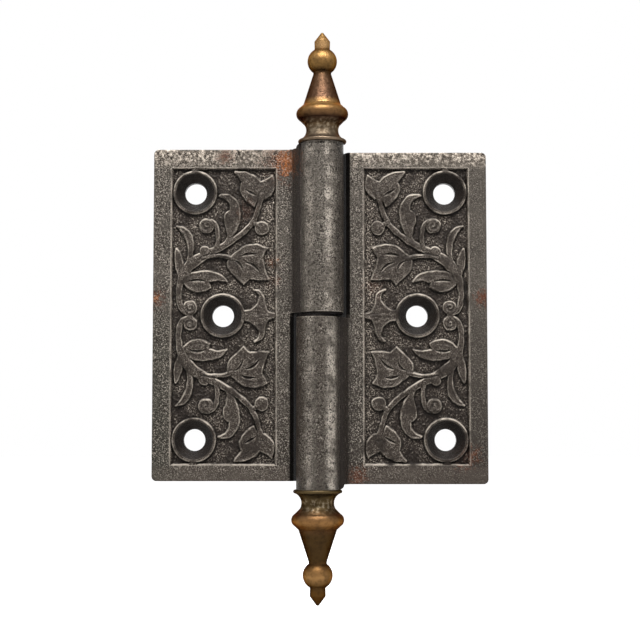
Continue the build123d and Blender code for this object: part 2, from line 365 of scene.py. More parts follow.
def ease(value, start, end):
    """Runs from 0 to 1 between start and end, gently at both ends."""
    t = ((value - start) / (end - start)).clip(0, 1)
    return t * t * (3 - 2 * t)


def bell(value, width):
    """A soft hump, 1 at zero and nearly gone at twice the width."""
    return np.exp(-((value / width) ** 2))


def leaf_section(inside):
    """A lip along the edge, round a middle that is nearly flat."""
    lip = LIP * uneven * bell(inside - 0.18, 0.16)
    return SIDE_HEIGHT * ease(inside, *WALL) + lip + SWELL * ease(inside, 0.5, 1.6)


def stem_section(inside, half):
    """Rounded, as high in the middle of a thin stem as of a thick one."""
    return SIDE_HEIGHT * ease(inside, *STEM_WALL) + CROWN * ease(inside / half, -0.3, 1)


def head_section(inside, radius, turns, angle):
    """A low dome, with a scroll cut into it where it has turns."""
    dome = SIDE_HEIGHT * ease(inside, *WALL) + DOME * ease(inside, 0, 0.9 * radius)
    if not turns:
        return dome
    scroll = np.cos(2 * math.pi * (turns * inside / radius + angle / (2 * math.pi)))
    return dome + SCROLL_DEPTH * scroll * ease(inside, 0.02, 0.3)


print("a stem stands", SIDE_HEIGHT + CROWN, "mm over the panel's floor")

# %% Carve the leaves of the upper half, and their mirror image with them
VEIN_DEPTH = 0.12
VEIN_WIDTH = 0.17
CUT_DEPTH = 0.4
mirrored = np.abs(places * [0, 1]) + places * [1, 0]
fuller = 0.08 + 0.22 * noise_field(1.6, 31.0)
relief = np.zeros(len(places))
for runs in LEAVES:
    relief = np.maximum(relief, leaf_section(inside_leaf(runs, mirrored) + fuller))
for path in VEINS:
    line = smooth_line(path)
    some = near(line, mirrored)
    gap = gaps_to_pieces(line, mirrored[some])[0].min(1)
    relief[some] -= VEIN_DEPTH * bell(gap, VEIN_WIDTH) * ease(relief[some], 0.75, 0.9)
for path in CUTS:
    inside, _ = inside_stem(path, mirrored)
    relief -= CUT_DEPTH * ease(inside, -0.03, 0.25)
print("leaves stand up to", round(relief.max(), 2), "mm over the floor")

# %% Carve the stems and round heads over the leaves
LEAST_OVER_CASTING = 0.73  # of the skin where the plain casting stands below it
PARTING_DEPTH = 0.22
PARTING_WIDTH = 0.17


def parted(relief, inside):
    """The leaves, cut away a little beside a form that passes over them."""
    cut = relief - PARTING_DEPTH * bell(inside + 0.16, PARTING_WIDTH)
    return np.where(relief > LEAST_OVER_CASTING, np.maximum(cut, LEAST_OVER_CASTING), relief)


for path in STEMS:
    inside, half = inside_stem(path, mirrored)
    inside = inside + fuller.clip(STEM_WALL[1], 0.16)
    relief = np.maximum(parted(relief, inside), stem_section(inside, half))
for reach, rise, radius, turns in HEADS:
    offset = mirrored - [reach, rise]
    inside = radius + fuller - np.linalg.norm(offset, axis=1)
    angle = np.arctan2(offset[:, 1], offset[:, 0])
    relief = np.maximum(parted(relief, inside), head_section(inside, radius, turns, angle))
print("carving stands up to", round(relief.max(), 2), "mm over the floor")

# %% Rims of the screw holes, and the lug that ties the outer ones to the border
LUG = [(33.4, 38.0, 0.5), (33.6, 39.9, 0.8)]
LUG_HEIGHT = 0.9
BEAD = 0.12  # of a rim over the front
inside, _ = inside_stem(LUG, mirrored)
relief = np.maximum(relief, LUG_HEIGHT * ease(inside, -1.2, 0.3))
for hole in SCREW_HOLES:
    radius = np.linalg.norm(places - hole, axis=1)
    bead = PANEL_DEPTH + BEAD * bell(radius - (COUNTERSINK + RIM) / 2, 0.22)
    relief = np.maximum(relief, bead * ease(RIM - radius, -0.4, -0.02))
print("rims stand up to", round(relief.max(), 2), "mm over the floor")

# %% [markdown]
# ## The sand-cast ground
# Between the forms the founder's pattern was stippled with a punch, so that the ground looks dark and the
# ivy stands out. The stipple is soft noise about as wide as the punch, stronger on the ground than on the
# ivy, from Blender's own noise, which is the same on every run. Along the border the ground runs up in an
# uneven cove.

# %% Stipple
STIPPLE = 0.26  # height of the marks of the punch
PUNCH = 0.65  # width of one mark
GRAIN = 0.1
SAND = 0.34  # width of the grain
EATEN = 0.09  # depth of the pits that rust has eaten into the ivy
LEAST_OVER_FLOOR = 0.03
COVE = 0.93  # height of the ground's cove at the border
stipple = (noise_field(PUNCH, 3.0) + 0.4).clip(0, 1.2)
grain = noise_field(SAND, 9.0)
eaten = (noise_field(0.62, 13.0) - 0.15).clip(0, 0.6) / 0.6
at_border = np.minimum.reduce([
    places[:, 0] - PANEL_SIDES[0], PANEL_SIDES[1] - places[:, 0], PANEL_TOP - np.abs(places[:, 1]),
])
cove = COVE * (1 - ease(at_border / (0.7 + 0.5 * noise_field(3.0, 21.0)), 0.1, 1))
relief = np.maximum(relief, cove)
ground = 1 - ease(relief, 0.1, 0.6)
relief = relief + ground * (STIPPLE * stipple + GRAIN * grain)
worked = relief - (1 - ground) * (EATEN * eaten - 0.5 * GRAIN * grain)
relief = np.where(relief > LEAST_OVER_CASTING, np.maximum(worked, LEAST_OVER_CASTING), relief)
relief = np.maximum(relief, LEAST_OVER_FLOOR)
relief = np.minimum(relief, 0.97 + 0.4 * ease(at_border, 0.1, 0.6))
print("ground lies", round(relief[ground > 0.9].mean(), 3), "mm over the casting's floor")

# %% Set the heights
flat = flat.reshape(-1, 3)
flat[:, 1] = (floor_of_panel - relief) * MM
mesh.vertices.foreach_set("co", flat.ravel())
mesh.update()
print("heights set on", len(flat), "points")

# %% [markdown]
# ## What the finish needs to know
# Old iron is dark in the hollows, where dirt and oil stay, and bright along the ridges, where hands and
# cloths rub; the hollows also take painted shade, and the ridges partly a painted highlight. Both follow
# from the heights: a point that lies lower than its neighbours is a hollow, and one that lies higher is a
# ridge. The upper edge of each form takes a painted highlight and the ground just under it a painted
# shadow, as from a lamp above. All are kept on the mesh as attributes for the material.

# %% Hollows and ridges
HOLLOW_WIDTH = 0.5  # how far round a point its neighbours are asked, in mm
RIDGE_WIDTH = 0.22
PAINTED_SHADOW_REACH = 0.46  # how far below a form its painted shadow reaches
DEEP, SHARP, STEEP = 0.35, 0.16, 0.5  # differences of height, in mm, that count in full


def blurred(field, distance):
    """The mean height round each point, by running means along both sides of the grid, taken twice."""
    size = max(1, round(distance / SQUARE))
    for axis in (0, 1, 0, 1):
        padding = [(0, 0), (0, 0)]
        padding[axis] = (size + 1, size)
        sums = np.cumsum(np.pad(field, padding, mode="edge"), axis=axis)
        span = 2 * size + 1
        field = (np.take(sums, range(span, sums.shape[axis]), axis)
                 - np.take(sums, range(sums.shape[axis] - span), axis)) / span
    return field


def paint_highlight_and_shadow(field, up):
    """Painted highlight on each upper edge, and painted shadow under a form above it."""
    above = [np.roll(field, -up * step, axis=0) for step in range(1, round(PAINTED_SHADOW_REACH / SQUARE) + 1)]
    exposed = (field - np.minimum.reduce(above)) / STEEP
    painted_shadow = (np.maximum.reduce(above) - field) / STEEP
    return exposed.clip(0, 1), painted_shadow.clip(0, 1)


heights = relief.reshape(rows + 1, columns + 1)
hollow = ((blurred(heights, HOLLOW_WIDTH) - heights) / DEEP).clip(0, 1)
ridge = ((heights - blurred(heights, RIDGE_WIDTH)) / SHARP).clip(0, 1)
raised = ease(heights, 0.45, 0.75)
fields = {"hollow": hollow, "ridge": ridge, "raised": raised}
# the other leaf is this one turned half round, so its rows count the other way
for up, way in ((1, ""), (-1, "turned_")):
    fields[way + "exposed"], fields[way + "painted_shadow"] = paint_highlight_and_shadow(heights, up)
for name, values in fields.items():
    attribute = mesh.attributes.new(name, "FLOAT", "POINT")
    attribute.data.foreach_set("value", values.ravel().astype(np.float32))
print("hollows on", round(100 * (hollow > 0.3).mean()), "% of the panel")
print("ridges on", round(100 * (ridge > 0.3).mean()), "% of the panel")

# %% [markdown]
# ## Cut the screw holes and close the skin
# The squares over each screw hole are deleted, and the ragged edge that is left is drawn in to a true
# circle at the countersink's edge. Then the open edges are extruded down into the leaf, and the underside
# is filled, so that the skin is a closed solid with no open seam. A Boolean modifier could cut the holes
# too, but on so fine a grid it would leave thin slivers along the cut.

# %% Cut and close
HOLE_EDGE = COUNTERSINK + 0.03
SKIRT = 0.5  # how far the sides go down below the panel's floor
SHARP_EDGE = 45  # degrees, past which an edge isn't shaded smooth


def select_faces(piece, choose):
    """Selects the faces whose middle, as reach and rise in mm, passes the test."""
    for polygon in piece.data.polygons:
        polygon.select = choose(polygon.center.x / MM, polygon.center.z / MM)


def over_a_hole(reach, rise):
    return any(math.hypot(reach - u, rise - v) < HOLE_EDGE for u, v in SCREW_HOLES)


bpy.ops.object.mode_set(mode="EDIT")
bpy.ops.mesh.select_mode(type="FACE")
bpy.ops.mesh.select_all(action="DESELECT")
bpy.ops.object.mode_set(mode="OBJECT")
select_faces(frame_carving, over_a_hole)
bpy.ops.object.mode_set(mode="EDIT")
bpy.ops.mesh.delete(type="FACE")
bpy.ops.mesh.select_mode(type="EDGE")
bpy.ops.mesh.select_all(action="SELECT")
bpy.ops.mesh.region_to_loop()
bpy.ops.object.mode_set(mode="OBJECT")
for vertex in mesh.vertices:
    if vertex.select:
        for u, v in SCREW_HOLES:
            middle = Vector((u, vertex.co.y / MM, v)) * MM
            away = vertex.co - middle
            if away.length < RIM * MM:
                vertex.co = middle + away.normalized() * HOLE_EDGE * MM
bpy.ops.object.mode_set(mode="EDIT")
bpy.ops.mesh.extrude_region_move()
bpy.ops.object.mode_set(mode="OBJECT")
for vertex in mesh.vertices:
    if vertex.select:
        vertex.co.y = (floor_of_panel + SKIRT) * MM
bpy.ops.object.mode_set(mode="EDIT")
bpy.ops.mesh.fill(use_beauty=False)
bpy.ops.mesh.select_all(action="SELECT")
bpy.ops.mesh.normals_make_consistent(inside=False)
bpy.ops.object.mode_set(mode="OBJECT")
bpy.ops.object.shade_smooth_by_angle(angle=math.radians(SHARP_EDGE))
print("frame_leaf_carving has", len(mesh.polygons), "faces")

# %% [markdown]
# ## The other leaf
# Both leaves came from one pattern, so the door leaf's carving is a copy of the first, with a mesh of its
# own, turned half round about the middle of the hinge. Its upper edges are the first one's lower edges, so
# it takes the values that were worked out for a turned leaf. A copy with a negative scale would have the
# same outlines, but its faces would point inwards.

# %% Copy and turn
bpy.ops.object.select_all(action="DESELECT")
frame_carving.select_set(True)
bpy.context.view_layer.objects.active = frame_carving
bpy.ops.object.duplicate()
door_carving = bpy.context.object
door_carving.name = "door_leaf_carving"
bpy.ops.transform.rotate(value=math.pi, orient_axis="Y", center_override=(0, 0, 0))
bpy.ops.object.transform_apply(location=True, rotation=True, scale=True)
for name in ("exposed", "painted_shadow"):
    turned = door_carving.data.attributes
    turned.remove(turned[name])
    turned["turned_" + name].name = name
    mesh.attributes.remove(mesh.attributes["turned_" + name])
for piece, body in ((frame_carving, "frame_leaf"), (door_carving, "door_leaf")):
    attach(piece, body)
print("door_leaf_carving reaches from", round(min(v.co.x for v in door_carving.data.vertices) / MM, 1), "mm")

# %% [markdown]
# ## Building materials from nodes
# A finish is a stack of layers: a plain colour, then grain, dirt, wear and rust, each laid on through a
# mask. One small function adds a node, and another lays the stack, so that a finish reads from top to
# bottom. Colours are written as hex values, as a colour picker shows them, and turned to linear light once.

# %% Helpers
LINEAR_END = 0.04045


def linear(hex_colour):
    """A colour written as sRGB hex, as linear red, green, blue and alpha."""
    channels = [int(hex_colour[i: i + 2], 16) / 255 for i in (1, 3, 5)]
    light = [c / 12.92 if c <= LINEAR_END else ((c + 0.055) / 1.055) ** 2.4 for c in channels]
    return (*light, 1.0)


def add(tree, kind, inputs=(), output=0, **settings):
    """Adds a node with its settings and gives one of its outputs. An input that is a socket is linked."""
    node = tree.nodes.new(kind)
    for name, value in settings.items():
        setattr(node, name, value)
    for key, value in dict(inputs).items():
        if isinstance(value, bpy.types.NodeSocket):
            tree.links.new(value, node.inputs[key])
        else:
            node.inputs[key].default_value = value
    return node.outputs[output] if node.outputs else node


# sockets of a colour mix: its factor and its two colours, and the result
FACTOR, UNDER, OVER, RESULT = 0, 6, 7, 2


def lay(tree, colour, layers):
    """Lays colours over one another, each at a strength, where its values run through their ranges."""
    for shade, strength, ranges in layers:
        mask = strength
        for value, start, end in ranges:
            share = add(tree, "ShaderNodeMapRange", {"Value": value, "From Min": start, "From Max": end})
            mask = add(tree, "ShaderNodeMath", {0: share, 1: mask}, operation="MULTIPLY")
        colours = {FACTOR: mask, UNDER: colour, OVER: linear(shade)}
        colour = add(tree, "ShaderNodeMix", colours, RESULT, data_type="RGBA")
    return colour


def new_material(name):
    """An empty material, with its node tree and the place of a point in mm."""
    material = bpy.data.materials.new(name)
    material.use_nodes = True
    tree = material.node_tree
    tree.nodes.clear()
    place = add(tree, "ShaderNodeTexCoord", output="Object")
    mm = add(tree, "ShaderNodeVectorMath", {0: place, 1: (1 / MM,) * 3}, operation="MULTIPLY")
    return material, tree, mm


print("mid grey is", [round(c, 3) for c in linear("#808080")])

# %% [markdown]
# ## Pitted cast iron
# Grey iron, cast in sand and left bare. It has rusted and been cleaned more than once, so it is dark grey
# with a warm cast, peppered with pits that stay nearly black, and it shines where it is rubbed. Part of that
# shine, and part of its shade, is painted into the colour. Some orange rust is left. The eye sees a dull
# grain with a low sheen. Its layers read the place of a point, its distance from the barrel's axis and four
# noises, which are worked out once. Every width is a real one, in millimetres.

# %% The values that the layers read
from types import SimpleNamespace

NOISE_WIDTHS = {"tone": 14, "mottle": 3.2, "lumps": 0.7, "grain": SAND}


def iron_values(tree, mm):
    """Where a point of the iron lies, how far it is from its knuckle's axis, and its noises."""
    at = SimpleNamespace()
    for name, size in NOISE_WIDTHS.items():
        settings = {"Vector": mm, "Scale": 1 / size, "Detail": 3.0, "Roughness": 0.6}
        setattr(at, name, add(tree, "ShaderNodeTexNoise", settings))
    at.x, at.y, at.z = add(tree, "ShaderNodeSeparateXYZ", {0: mm}).node.outputs
    at.reach = add(tree, "ShaderNodeMath", {0: at.x}, operation="ABSOLUTE")
    at.height = add(tree, "ShaderNodeMath", {0: at.z}, operation="ABSOLUTE")
    half = add(tree, "ShaderNodeMath", {0: at.z}, operation="SIGN")
    offset = add(tree, "ShaderNodeMath", {0: half, 1: -WEAR, 2: at.x}, operation="MULTIPLY_ADD")
    across = add(tree, "ShaderNodeCombineXYZ", {0: offset, 1: at.y})
    at.radius = add(tree, "ShaderNodeVectorMath", {0: across}, "Value", operation="LENGTH")
    return at


print("the noises are", list(NOISE_WIDTHS.values()), "mm wide")

# %% [markdown]
# ## Worn places, painted highlights and painted shade
# The top borders are lighter, partly worn by wiping and partly a painted highlight, and the iron grows
# darker towards the bottom and to the right. The barrel has upright streaks of painted reflection, with
# painted shade between them and at its sides. All this could be painted by hand, but a layer that grows
# over a range of places does the same and is easy to change. Each layer is a colour, a strength and the
# ranges over which its values take it from nothing to full.

# %% Borders and barrel
KNUCKLE = 5.7  # radius of the knuckles


def top_border(at):
    """The ranges that pick out the top borders."""
    over_panel = (at.z, PANEL_TOP - 0.4, PANEL_TOP + 3.2)
    return [over_panel, (at.reach, 7.6, 9.0), (at.y, 3.6, 2.2), (at.mottle, -0.15, 0.6)]


def border_layers(at):
    """Top borders worn light and partly a painted highlight; darker towards the bottom and the right."""
    return [
        # top borders: worn, and partly a painted highlight
        ("#7d7368", 0.9, top_border(at)),
        # darker towards the bottom and to the right
        ("#1f1a16", 0.72, [(at.z, 10, -40), (at.x, -176, 44)]),
        ("#33342e", 0.6, [(at.x, -34, -44), (at.z, 8, -10)]),
        ("#6b6058", 0.2, [(at.z, -39.6, -40.4), (at.reach, 7.6, 9.0)]),
    ]


def on_barrel(at):
    """The range that picks out the barrel."""
    return at.radius, KNUCKLE + 0.1, KNUCKLE + 0.02


def barrel_painted_light_layers(at):
    """Painted reflections as bright upright streaks on the barrel, and painted shade between them and at its
    sides.
    """
    upper = [on_barrel(at), (at.z, 0.5, 0.6)]
    lower = [on_barrel(at), (at.z, -0.5, -0.6)]
    return [
        ("#867f76", 0.17, [on_barrel(at)]),
        # bright streaks are painted reflections; the dark between them and at the sides is painted shade
        ("#a59c91", 0.45, [*upper, (at.x, 0.6, 2.0), (at.x, 4.2, 2.8), (at.mottle, 0.36, 0.6)]),
        ("#a59c91", 0.5, [*lower, (at.x, 0.6, 2.6), (at.x, 5.0, 4.0), (at.mottle, 0.3, 0.6)]),
        ("#c9c0b4", 0.6, [*lower, (at.x, 1.4, 2.4), (at.x, 4.4, 3.6), (at.mottle, 0.4, 0.58)]),
        ("#a59c91", 0.42, [*lower, (at.x, -4.4, -3.2), (at.x, -1.4, -2.4), (at.mottle, 0.36, 0.6)]),
        ("#2b211a", 0.3, [*lower, (at.x, -1.6, -0.4), (at.x, 1.8, 0.8)]),
        ("#c9c0b4", 0.42, [*upper, (at.x, 0.9, 1.8), (at.x, 3.4, 2.6), (at.mottle, 0.5, 0.6)]),
        ("#a59c91", 0.5, [*upper, (at.x, -4.4, -3.4), (at.x, -1.2, -2.4), (at.mottle, 0.36, 0.6)]),
        ("#2b211a", 0.75, [*lower, (at.x, -3.0, -5.2)]),
        ("#1f1a16", 0.5, [*lower, (at.x, 3.6, 5.2)]),
        ("#1f1a16", 0.6, [*upper, (at.x, 3.4, 5.0)]),
    ]


print("the top borders are bright from", PANEL_TOP, "mm up, and the barrel is", 2 * KNUCKLE, "mm thick")

# %% [markdown]
# ## Pits, rust and sand grain
# Rust eats pits, and where it was cleaned off it leaves bright spots. The bright specks on the top borders
# are painted glints. Rust comes back where water stood: in the corner by the upper knuckle, at the edges and
# in the panels. Each spot of rust is a place and a size, and the noises make its outline ragged. A
# photograph of rust would be another way, but it couldn't follow this hinge's own corners.

# %% Pits and grain
def pit_and_painted_glint_layers(at):
    """Dark pits, painted glints on the top borders, and bright spots where rust was cleaned off."""
    top = top_border(at)
    cleaned = [on_barrel(at), (at.height, 0.7, 0.8)]
    return [
        # painted glints on the top borders
        ("#dccfc0", 1.0, [(at.lumps, 0.52, 0.62), *top]),
        ("#221c18", 0.9, [(at.lumps, 0.48, 0.42), *top]),
        ("#221c18", 0.5, [(at.lumps, 0.46, 0.38), (at.mottle, 0.48, 0.6)]),
        ("#b5aca0", 0.3, [*cleaned, (at.lumps, 0.5, 0.64), (at.mottle, 0.5, 0.6)]),
        ("#15110e", 0.7, [on_barrel(at), (at.lumps, 0.46, 0.39)]),
    ]


def grain_layers(at):
    """Light and dark sand grain, strongest on the left."""
    rough_cast = [(at.x, 63, 12), (at.z, -49, -38), (at.mottle, 0.26, 0.56)]
    return [
        ("#a89f94", 1.0, [(at.grain, 0.52, 0.7), (at.radius, 3.4, 8.0), *rough_cast]),
        ("#1a1612", 1.0, [(at.grain, 0.52, 0.34), *rough_cast]),
    ]


print("pits are", NOISE_WIDTHS["lumps"], "mm wide and grains", NOISE_WIDTHS["grain"], "mm")

# %% Rust that is left, as place across, rise and radius
ORANGE_RUST = [(-8.2, 42.0, 3.6), (-8.0, 39.4, 2.6), (-12.8, 14.2, 1.3), (-43.8, 4.6, 1.0)]
BROWN_RUST = [
    (-25.4, 42.6, 2.2), (-43.6, 4.6, 2.4), (43.4, 4.8, 2.4), (-13.0, 14.4, 2.0), (-12.6, 9.4, 1.8),
    (14.4, 7.4, 2.6), (38.2, -37.0, 3.6), (9.6, -42.6, 2.6), (-10.2, 41.0, 5.6), (-19.6, 28.0, 3.0),
]


def rust_layers(tree, mm, at):
    """Spots of rust, broken up by the pits."""
    layers = []
    ragged = add(tree, "ShaderNodeMath", {0: at.lumps, 1: 4.0, 2: at.mottle}, operation="MULTIPLY_ADD")
    for spots, shade in ((BROWN_RUST, "#522d1c"), (ORANGE_RUST, "#8c5228")):
        for across, rise, size in spots:
            middle = (across, front, rise)
            away = add(tree, "ShaderNodeVectorMath", {0: mm, 1: middle}, "Value", operation="DISTANCE")
            away = add(tree, "ShaderNodeMath", {0: ragged, 1: -size, 2: away}, operation="MULTIPLY_ADD")
            layers.append((shade, 0.85, [(away, -1.4 * size, -2.3 * size)]))
    return layers


print(len(ORANGE_RUST) + len(BROWN_RUST), "places with rust")

# %% [markdown]
# ## Ridges and hollows
# Ridges are rubbed bright and partly lit by a painted highlight, and hollows are dirty and darkened with
# painted shade. The carved skin has the values for this on its mesh, and also a dark ground, a painted
# highlight on the upper edges and a painted shadow under each form. The plain castings have no such values,
# so there the Ambient Occlusion node tells how much of the shape stands close by: from outside for a
# hollow, from within for an edge. It is slower, but it works on any mesh.

# %% Carved skins and plain castings
def carved_layers(tree, at):
    """A dark ground and rubbed forms, with painted highlights and painted shade, from the values on the mesh.
    """
    raised, ridge, hollow, exposed, painted_shadow = [
        add(tree, "ShaderNodeAttribute", output="Fac", attribute_name=name)
        for name in ("raised", "ridge", "hollow", "exposed", "painted_shadow")
    ]
    form = (raised, 0.6, 1.0)
    ground = (raised, 1, 0)
    return [
        ("#3d342e", 0.42, [form]),
        ("#1c1814", 0.6, [form, (at.lumps, 0.46, 0.4)]),
        ("#231813", 0.55, [ground]),
        ("#1a1512", 0.5, [(at.mottle, 0.5, 0.38)]),
        # bright speckle on the stippled ground: its grain, partly as painted glints
        ("#b0a597", 0.65, [ground, (at.grain, 0.54, 0.64), (at.mottle, 0.45, 0.6)]),
        ("#c0b4a5", 0.7, [ground, (at.grain, 0.53, 0.62), (at.reach, 18, 12)]),
        ("#120e0b", 0.9, [ground, (at.grain, 0.47, 0.38)]),
        # ground darker towards the bottom
        ("#1a1512", 0.25, [ground, (at.z, 0, -10)]),
        # painted highlight on the upper edges of the forms, and painted shadow under them
        ("#d8cdbf", 0.42, [(exposed, 0.45, 1), (at.mottle, 0.34, 0.6)]),
        ("#0c0907", 0.7, [(painted_shadow, 0.15, 1)]),
        # bright ridges, worn and partly a painted highlight; hollows, dirt and painted shade
        ("#cfc4b6", 0.9, [(ridge, 0.26, 1), (at.mottle, 0.28, 0.6)]),
        ("#0e0b09", 0.92, [(hollow, 0, 1)]),
    ]


def casting_layers(tree, at):
    """Rubbed edges with a painted highlight, and hollows with dirt and painted shade, from the shape nearby.
    """
    # edge: wear and a painted highlight; open_sky: dirt and painted shade in the hollows
    edge = add(tree, "ShaderNodeAmbientOcclusion", {"Distance": 0.4 * MM}, "AO", inside=True, samples=6)
    open_sky = add(tree, "ShaderNodeAmbientOcclusion", {"Distance": 2.2 * MM}, "AO", samples=6)
    return [
        ("#cfc4b6", 0.5, [(edge, 0.85, 0.45), (at.mottle, 0.28, 0.6)]),
        ("#0e0b09", 0.92, [(open_sky, 0.8, 0.3)]),
    ]


print("values on the carved mesh:", ", ".join(name for name in fields if "turned" not in name))

# %% [markdown]
# ## Painted shade in the countersinks and beside the barrel
# The countersinks are painted nearly black as shade, and their rims dark. Painted shade also lies beside
# the barrel: on the web to its own leaf and in the hollow edge of the other leaf, and a painted shadow lies
# in the joint. These layers come last, over all the others. They stop short of the back, which lies against
# the wood.

# %% Countersinks and the places beside the barrel
def painted_shade_and_dark_rim_layers(tree, at):
    """Painted shade in the countersinks and beside the barrel, dark rims, and a painted shadow in the joint.
    """
    layers = []
    not_back = (at.y, KNUCKLE - 0.1, KNUCKLE - 0.2)
    folded = add(tree, "ShaderNodeCombineXYZ", {0: at.reach, 2: at.height})
    for u, v in SCREW_HOLES[:2]:  # folded over, the lower outer hole lies on the upper one
        away = add(tree, "ShaderNodeVectorMath", {0: folded, 1: (u, 0, v)}, "Value", operation="DISTANCE")
        layers += [
            # countersinks painted nearly black as shade, and a dark rim round each
            ("#120d0a", 0.95, [(away, COUNTERSINK + 0.1, COUNTERSINK - 0.1), not_back]),
            ("#241e1a", 0.6, [(away, RIM + 0.1, RIM - 0.1), not_back, (at.mottle, 0.56, 0.4)]),
        ]
    diagonal = add(tree, "ShaderNodeMath", {0: at.x, 1: at.z}, operation="MULTIPLY")
    beside = [(at.radius, KNUCKLE + 0.02, KNUCKLE + 0.25), not_back]
    layers += [
        # painted shade beside the barrel: on the web, and darkest in the other leaf's hollow edge
        ("#1a1512", 0.85, [*beside, (diagonal, -1, -3), (at.reach, 9.0, 6.4)]),
        ("#0d0a08", 1.0, [*beside, (diagonal, 1, 3), (at.reach, 8.2, 7.8)]),
        # a painted shadow in the joint between the knuckles
        ("#0e0a08", 1.0, [(at.height, 0.72, 0.6), (at.radius, KNUCKLE - 0.04, KNUCKLE - 0.1)]),
    ]
    return layers


# the dark countersinks are painted shade
print("dirt in", 2 * len(SCREW_HOLES), "countersinks")

# %% The iron's material
def cast_iron(name, carved):
    """Bare grey iron under a film of rust and oil: a dull, warm grey with a low sheen and a sandy grain."""
    material, tree, mm = new_material(name)
    at = iron_values(tree, mm)
    layers = [*border_layers(at), *barrel_painted_light_layers(at), *pit_and_painted_glint_layers(at)]
    layers += [*rust_layers(tree, mm, at), *grain_layers(at)]
    layers += carved_layers(tree, at) if carved else casting_layers(tree, at)
    layers += painted_shade_and_dark_rim_layers(tree, at)
    greys = {FACTOR: at.tone, UNDER: linear("#34302c"), OVER: linear("#59534c")}
    plain = add(tree, "ShaderNodeMix", greys, RESULT, data_type="RGBA")
    colour = lay(tree, plain, layers)
    dents = add(tree, "ShaderNodeMath", {0: at.lumps, 1: 0.8, 2: at.grain}, operation="MULTIPLY_ADD")
    bump = add(tree, "ShaderNodeBump", {"Height": dents, "Strength": 0.9, "Distance": 0.2 * MM})
    iron = add(tree, "ShaderNodeBsdfPrincipled", {
        "Base Color": colour, "Metallic": 0.14, "Roughness": 0.38, "Specular IOR Level": 0.1, "Normal": bump,
    })
    add(tree, "ShaderNodeOutputMaterial", {"Surface": iron})
    return material


plain_iron = cast_iron("pitted_cast_iron", carved=False)
carved_iron = cast_iron("carved_cast_iron", carved=True)
print(len(plain_iron.node_tree.nodes), "nodes in the plain iron")
print(len(carved_iron.node_tree.nodes), "nodes in the carved iron")

# %% [markdown]
# ## Aged bronze
# The finials were turned from bronze bar. Handling keeps their bulges golden, while the necks have gone
# grey and the hollows brown. So the colour follows the height above the knuckle, through one ramp for each
# finial. On the upper finial the ramp also paints shade on the ball's lower part and top, and a highlight
# across its middle. Painting them by hand would need an unwrapped picture, while a ramp needs only the
# heights at which the shade changes. The eye sees a soft golden shine that breaks up into brown.

# %% Patina by height over the knuckle, from its end to the tip
KNUCKLE_END = 45.9
TIP = 76.0
# patina, with painted shade on the ball's lower part and top and a painted highlight across its middle
UPPER_PATINA_AND_PAINTED_LIGHT = [
    (0.0, "#6a5b4c"), (0.08, "#5e5244"), (0.16, "#4c3d2c"), (0.21, "#33231a"), (0.27, "#6c5033"),
    (0.33, "#8f6e45"), (0.40, "#4a3629"), (0.60, "#4d392a"), (0.65, "#3a2916"), (0.70, "#6b512e"),
    (0.77, "#8f6d42"), (0.83, "#5f482b"), (0.88, "#977650"), (1.0, "#7c6038"),
]
LOWER_PATINA = [
    (0.0, "#4f432e"), (0.08, "#3e3321"), (0.16, "#463a27"), (0.22, "#5c442d"), (0.28, "#7a5936"),
    (0.35, "#44301e"), (0.40, "#3a2b19"), (0.60, "#392a17"), (0.65, "#432f1a"), (0.70, "#6b4e2e"),
    (0.75, "#84633d"), (0.83, "#45321c"), (0.90, "#4f3618"), (1.0, "#33210f"),
]
print(len(UPPER_PATINA_AND_PAINTED_LIGHT), "shades up each finial")

# %% The bronze's material
STAIN_WIDTH = 2.5  # mm
SCRATCH_WIDTH = 0.9


